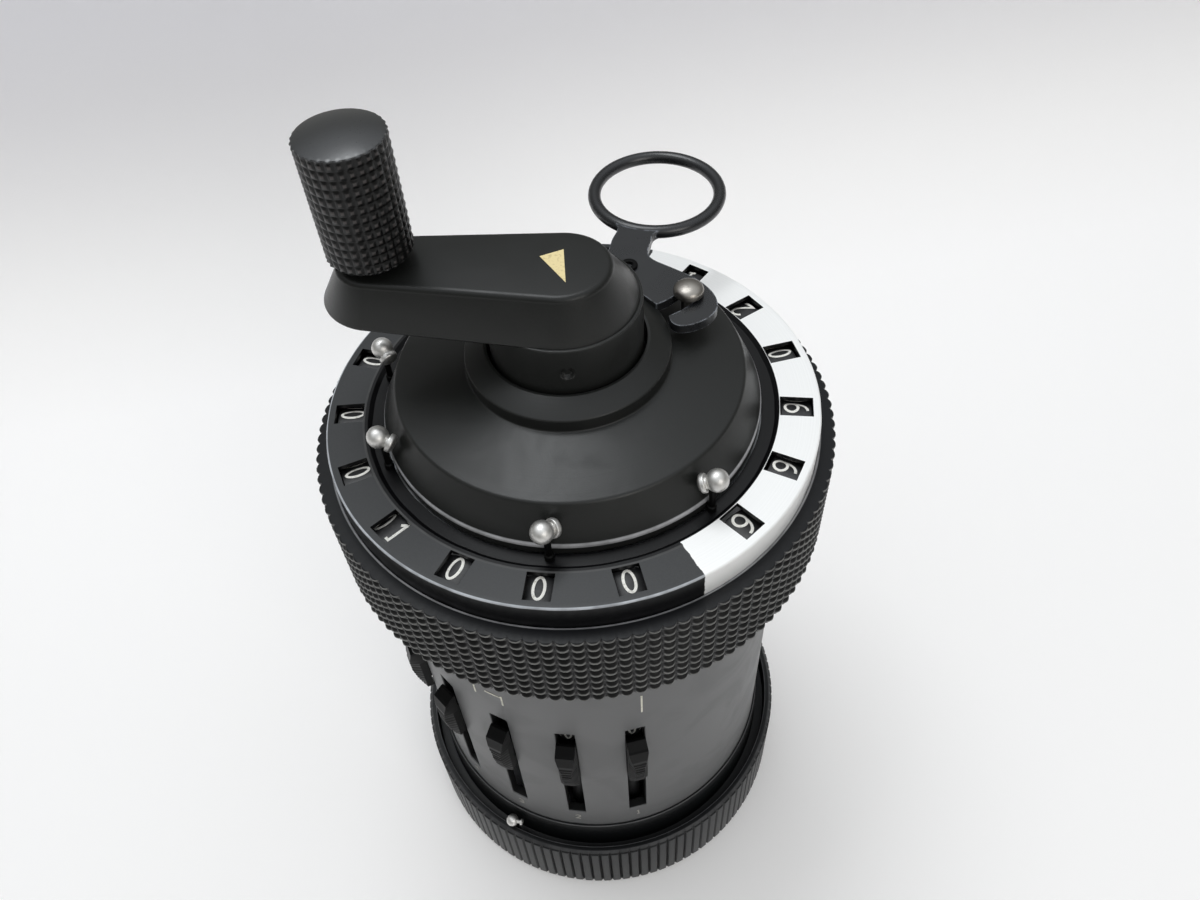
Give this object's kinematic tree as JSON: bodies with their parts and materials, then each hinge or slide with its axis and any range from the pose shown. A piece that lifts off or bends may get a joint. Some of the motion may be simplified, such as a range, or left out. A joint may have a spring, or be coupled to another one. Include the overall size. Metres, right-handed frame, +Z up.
{
  "type": "mechanical calculator",
  "caption": "Cylindrical hand-cranked pocket calculator with setting sliders, a knurled turning carriage, number windows and a folding clearing ring.",
  "frame": {"origin": "centre of the base's flat face, on the axis of the crank", "axes": "+Z up along the crank's axis, -Y towards the front of the machine"},
  "size_m": [0.053, 0.057, 0.103],
  "materials": {
    "black_enamel": "satin black",
    "dial_black": "matt black with white digits",
    "grey_satin": "satin grey",
    "plate_silver": "matt silver and black",
    "cream_enamel": "enamel",
    "steel": "turned steel",
    "brass": "machined brass"
  },
  "bodies": {
    "machine_body": {"base_cap": "black_enamel", "base_screws": "steel", "casing": "grey_satin", "lower_frame": "steel", "upper_plate": "steel", "neck_tube": "steel", "transmission_shafts": "steel"},
    "reverser": {"reversing_lever": "black_enamel"},
    "bell": {"tens_bell": "brass"},
    "drive": {"main_shaft": "steel", "stepped_drum": "brass", "crank_arm": "black_enamel", "crank_mark": "cream_enamel", "knob_spindle": "steel"},
    "knob": {"crank_knob": "black_enamel"},
    "spring": {"carriage_spring": "steel"},
    "carriage": {"carriage_ring": "black_enamel", "numeral_plate": "plate_silver", "dial_carrier": "steel"},
    "clearing": {"clearing_cap": "black_enamel", "lever_studs": "steel"},
    "lever": {"ring_lever": "black_enamel"},
    "base_marker_body": {"base_marker": "steel"},
    "slide_1": {"slider_1": "black_enamel"},
    "roll_1": {"setting_roll_1": "steel"},
    "slide_2": {"slider_2": "black_enamel"},
    "roll_2": {"setting_roll_2": "steel"},
    "slide_3": {"slider_3": "black_enamel"},
    "roll_3": {"setting_roll_3": "steel"},
    "slide_4": {"slider_4": "black_enamel"},
    "roll_4": {"setting_roll_4": "steel"},
    "slide_5": {"slider_5": "black_enamel"},
    "roll_5": {"setting_roll_5": "steel"},
    "slide_6": {"slider_6": "black_enamel"},
    "roll_6": {"setting_roll_6": "steel"},
    "slide_7": {"slider_7": "black_enamel"},
    "roll_7": {"setting_roll_7": "steel"},
    "slide_8": {"slider_8": "black_enamel"},
    "roll_8": {"setting_roll_8": "steel"},
    "result_1": {"result_dial_1": "dial_black"},
    "result_2": {"result_dial_2": "dial_black"},
    "result_3": {"result_dial_3": "dial_black"},
    "result_4": {"result_dial_4": "dial_black"},
    "result_5": {"result_dial_5": "dial_black"},
    "result_6": {"result_dial_6": "dial_black"},
    "result_7": {"result_dial_7": "dial_black"},
    "result_8": {"result_dial_8": "dial_black"},
    "result_9": {"result_dial_9": "dial_black"},
    "result_10": {"result_dial_10": "dial_black"},
    "result_11": {"result_dial_11": "dial_black"},
    "counter_1": {"counter_dial_1": "dial_black"},
    "counter_2": {"counter_dial_2": "dial_black"},
    "counter_3": {"counter_dial_3": "dial_black"},
    "counter_4": {"counter_dial_4": "dial_black"},
    "counter_5": {"counter_dial_5": "dial_black"},
    "counter_6": {"counter_dial_6": "dial_black"},
    "marker_1": {"decimal_marker_1": "steel"},
    "marker_2": {"decimal_marker_2": "steel"},
    "marker_3": {"decimal_marker_3": "steel"},
    "marker_4": {"decimal_marker_4": "steel"}
  },
  "joints": [
    {"name": "reverser_slide", "type": "slide", "parent": "machine_body", "child": "reverser", "axis": [0, 0, -1], "range_m": [0, 0.004]},
    {"name": "crank_turn", "type": "hinge", "parent": "machine_body", "child": "bell", "pos_m": [0, 0, 0.05], "axis": [0, 0, 1], "continuous": true},
    {"name": "crank_lift", "type": "slide", "parent": "bell", "child": "drive", "axis": [0, 0, 1], "range_m": [0, 0.00225]},
    {"name": "knob_spin", "type": "hinge", "parent": "drive", "child": "knob", "pos_m": [-0.01662, 0.00245, 0.095], "axis": [0, 0, 1], "continuous": true},
    {"name": "carriage_lift", "type": "slide", "parent": "machine_body", "child": "spring", "axis": [0, 0, 1], "range_m": [0, 0.003], "stiffness_N_per_m": 400, "springref_m": -0.004, "deforming": ["carriage_spring"]},
    {"name": "carriage_turn", "type": "hinge", "parent": "spring", "child": "carriage", "pos_m": [0, 0, 0.065], "axis": [0, 0, 1], "range_deg": [0, 100]},
    {"name": "clear_turn", "type": "hinge", "parent": "carriage", "child": "clearing", "pos_m": [0, 0, 0.078], "axis": [0, 0, 1], "continuous": true},
    {"name": "ring_fold", "type": "hinge", "parent": "clearing", "child": "lever", "pos_m": [0.0066, 0.0101, 0.0805], "axis": [0, 0, 1], "range_deg": [0, 66]},
    {"name": "base_marker_slide", "type": "hinge", "parent": "machine_body", "child": "base_marker_body", "pos_m": [0, 0, 0.012], "axis": [0, 0, 1], "range_deg": [-40, 40]},
    {"name": "slider_1_set", "type": "slide", "parent": "machine_body", "child": "slide_1", "axis": [0, 0, -1], "range_m": [0, 0.0135]},
    {"name": "roll_1_turn", "type": "hinge", "parent": "machine_body", "child": "roll_1", "pos_m": [0.00353, -0.01887, 0.03], "axis": [0, 0, 1], "range_deg": [-1, 325]},
    {"name": "slider_2_set", "type": "slide", "parent": "machine_body", "child": "slide_2", "axis": [0, 0, -1], "range_m": [0, 0.0135]},
    {"name": "roll_2_turn", "type": "hinge", "parent": "machine_body", "child": "roll_2", "pos_m": [-0.00314, -0.01894, 0.03], "axis": [0, 0, 1], "range_deg": [-1, 325]},
    {"name": "slider_3_set", "type": "slide", "parent": "machine_body", "child": "slide_3", "axis": [0, 0, -1], "range_m": [0, 0.0135]},
    {"name": "roll_3_turn", "type": "hinge", "parent": "machine_body", "child": "roll_3", "pos_m": [-0.00942, -0.01673, 0.03], "axis": [0, 0, 1], "range_deg": [-1, 325]},
    {"name": "slider_4_set", "type": "slide", "parent": "machine_body", "child": "slide_4", "axis": [0, 0, -1], "range_m": [0, 0.0135]},
    {"name": "roll_4_turn", "type": "hinge", "parent": "machine_body", "child": "roll_4", "pos_m": [-0.01458, -0.01249, 0.03], "axis": [0, 0, 1], "range_deg": [-1, 325]},
    {"name": "slider_5_set", "type": "slide", "parent": "machine_body", "child": "slide_5", "axis": [0, 0, -1], "range_m": [0, 0.0135]},
    {"name": "roll_5_turn", "type": "hinge", "parent": "machine_body", "child": "roll_5", "pos_m": [-0.01797, -0.00675, 0.03], "axis": [0, 0, 1], "range_deg": [-1, 325]},
    {"name": "slider_6_set", "type": "slide", "parent": "machine_body", "child": "slide_6", "axis": [0, 0, -1], "range_m": [0, 0.0135]},
    {"name": "roll_6_turn", "type": "hinge", "parent": "machine_body", "child": "roll_6", "pos_m": [-0.0192, -0.0002, 0.03], "axis": [0, 0, 1], "range_deg": [-1, 325]},
    {"name": "slider_7_set", "type": "slide", "parent": "machine_body", "child": "slide_7", "axis": [0, 0, -1], "range_m": [0, 0.0135]},
    {"name": "roll_7_turn", "type": "hinge", "parent": "machine_body", "child": "roll_7", "pos_m": [-0.01811, 0.00638, 0.03], "axis": [0, 0, 1], "range_deg": [-1, 325]},
    {"name": "slider_8_set", "type": "slide", "parent": "machine_body", "child": "slide_8", "axis": [0, 0, -1], "range_m": [0, 0.0135]},
    {"name": "roll_8_turn", "type": "hinge", "parent": "machine_body", "child": "roll_8", "pos_m": [-0.01484, 0.01219, 0.03], "axis": [0, 0, 1], "range_deg": [-1, 325]},
    {"name": "result_1_turn", "type": "hinge", "parent": "carriage", "child": "result_1", "pos_m": [0.00405, -0.02162, 0.0687], "axis": [0.184, -0.9829, 0], "continuous": true},
    {"name": "result_2_turn", "type": "hinge", "parent": "carriage", "child": "result_2", "pos_m": [-0.00359, -0.0217, 0.0687], "axis": [-0.1633, -0.9866, 0], "continuous": true},
    {"name": "result_3_turn", "type": "hinge", "parent": "carriage", "child": "result_3", "pos_m": [-0.0108, -0.01917, 0.0687], "axis": [-0.4909, -0.8712, 0], "continuous": true},
    {"name": "result_4_turn", "type": "hinge", "parent": "carriage", "child": "result_4", "pos_m": [-0.0167, -0.01432, 0.0687], "axis": [-0.7593, -0.6508, 0], "continuous": true},
    {"name": "result_5_turn", "type": "hinge", "parent": "carriage", "child": "result_5", "pos_m": [-0.02059, -0.00774, 0.0687], "axis": [-0.9361, -0.3518, 0], "continuous": true},
    {"name": "result_6_turn", "type": "hinge", "parent": "carriage", "child": "result_6", "pos_m": [-0.022, -0.00023, 0.0687], "axis": [-0.9999, -0.0105, 0], "continuous": true},
    {"name": "result_7_turn", "type": "hinge", "parent": "carriage", "child": "result_7", "pos_m": [-0.02075, 0.00731, 0.0687], "axis": [-0.9432, 0.3322, 0], "continuous": true},
    {"name": "result_8_turn", "type": "hinge", "parent": "carriage", "child": "result_8", "pos_m": [-0.017, 0.01396, 0.0687], "axis": [-0.7727, 0.6347, 0], "continuous": true},
    {"name": "result_9_turn", "type": "hinge", "parent": "carriage", "child": "result_9", "pos_m": [-0.0112, 0.01894, 0.0687], "axis": [-0.509, 0.8607, 0], "continuous": true},
    {"name": "result_10_turn", "type": "hinge", "parent": "carriage", "child": "result_10", "pos_m": [-0.00405, 0.02162, 0.0687], "axis": [-0.184, 0.9829, 0], "continuous": true},
    {"name": "result_11_turn", "type": "hinge", "parent": "carriage", "child": "result_11", "pos_m": [0.00359, 0.0217, 0.0687], "axis": [0.1633, 0.9866, 0], "continuous": true},
    {"name": "counter_1_turn", "type": "hinge", "parent": "carriage", "child": "counter_1", "pos_m": [0.01446, -0.01658, 0.0687], "axis": [0.6574, -0.7536, 0], "continuous": true},
    {"name": "counter_2_turn", "type": "hinge", "parent": "carriage", "child": "counter_2", "pos_m": [0.01926, -0.01063, 0.0687], "axis": [0.8755, -0.4833, 0], "continuous": true},
    {"name": "counter_3_turn", "type": "hinge", "parent": "carriage", "child": "counter_3", "pos_m": [0.02174, -0.0034, 0.0687], "axis": [0.988, -0.1547, 0], "continuous": true},
    {"name": "counter_4_turn", "type": "hinge", "parent": "carriage", "child": "counter_4", "pos_m": [0.02159, 0.00424, 0.0687], "axis": [0.9813, 0.1925, 0], "continuous": true},
    {"name": "counter_5_turn", "type": "hinge", "parent": "carriage", "child": "counter_5", "pos_m": [0.01884, 0.01136, 0.0687], "axis": [0.8563, 0.5165, 0], "continuous": true},
    {"name": "counter_6_turn", "type": "hinge", "parent": "carriage", "child": "counter_6", "pos_m": [0.01381, 0.01712, 0.0687], "axis": [0.628, 0.7782, 0], "continuous": true},
    {"name": "marker_1_slide", "type": "hinge", "parent": "carriage", "child": "marker_1", "pos_m": [0, 0, 0.074], "axis": [0, 0, 1], "range_deg": [-12, 12]},
    {"name": "marker_2_slide", "type": "hinge", "parent": "carriage", "child": "marker_2", "pos_m": [0, 0, 0.074], "axis": [0, 0, 1], "range_deg": [-12, 12]},
    {"name": "marker_3_slide", "type": "hinge", "parent": "carriage", "child": "marker_3", "pos_m": [0, 0, 0.074], "axis": [0, 0, 1], "range_deg": [-12, 12]},
    {"name": "marker_4_slide", "type": "hinge", "parent": "carriage", "child": "marker_4", "pos_m": [0, 0, 0.074], "axis": [0, 0, 1], "range_deg": [-12, 12]}
  ],
  "couplings": [
    {"joint": "roll_1_turn", "follows": "slider_1_set", "rad_per_m": 418.88},
    {"joint": "roll_2_turn", "follows": "slider_2_set", "rad_per_m": 418.88},
    {"joint": "roll_3_turn", "follows": "slider_3_set", "rad_per_m": 418.88},
    {"joint": "roll_4_turn", "follows": "slider_4_set", "rad_per_m": 418.88},
    {"joint": "roll_5_turn", "follows": "slider_5_set", "rad_per_m": 418.88},
    {"joint": "roll_6_turn", "follows": "slider_6_set", "rad_per_m": 418.88},
    {"joint": "roll_7_turn", "follows": "slider_7_set", "rad_per_m": 418.88},
    {"joint": "roll_8_turn", "follows": "slider_8_set", "rad_per_m": 418.88}
  ]
}
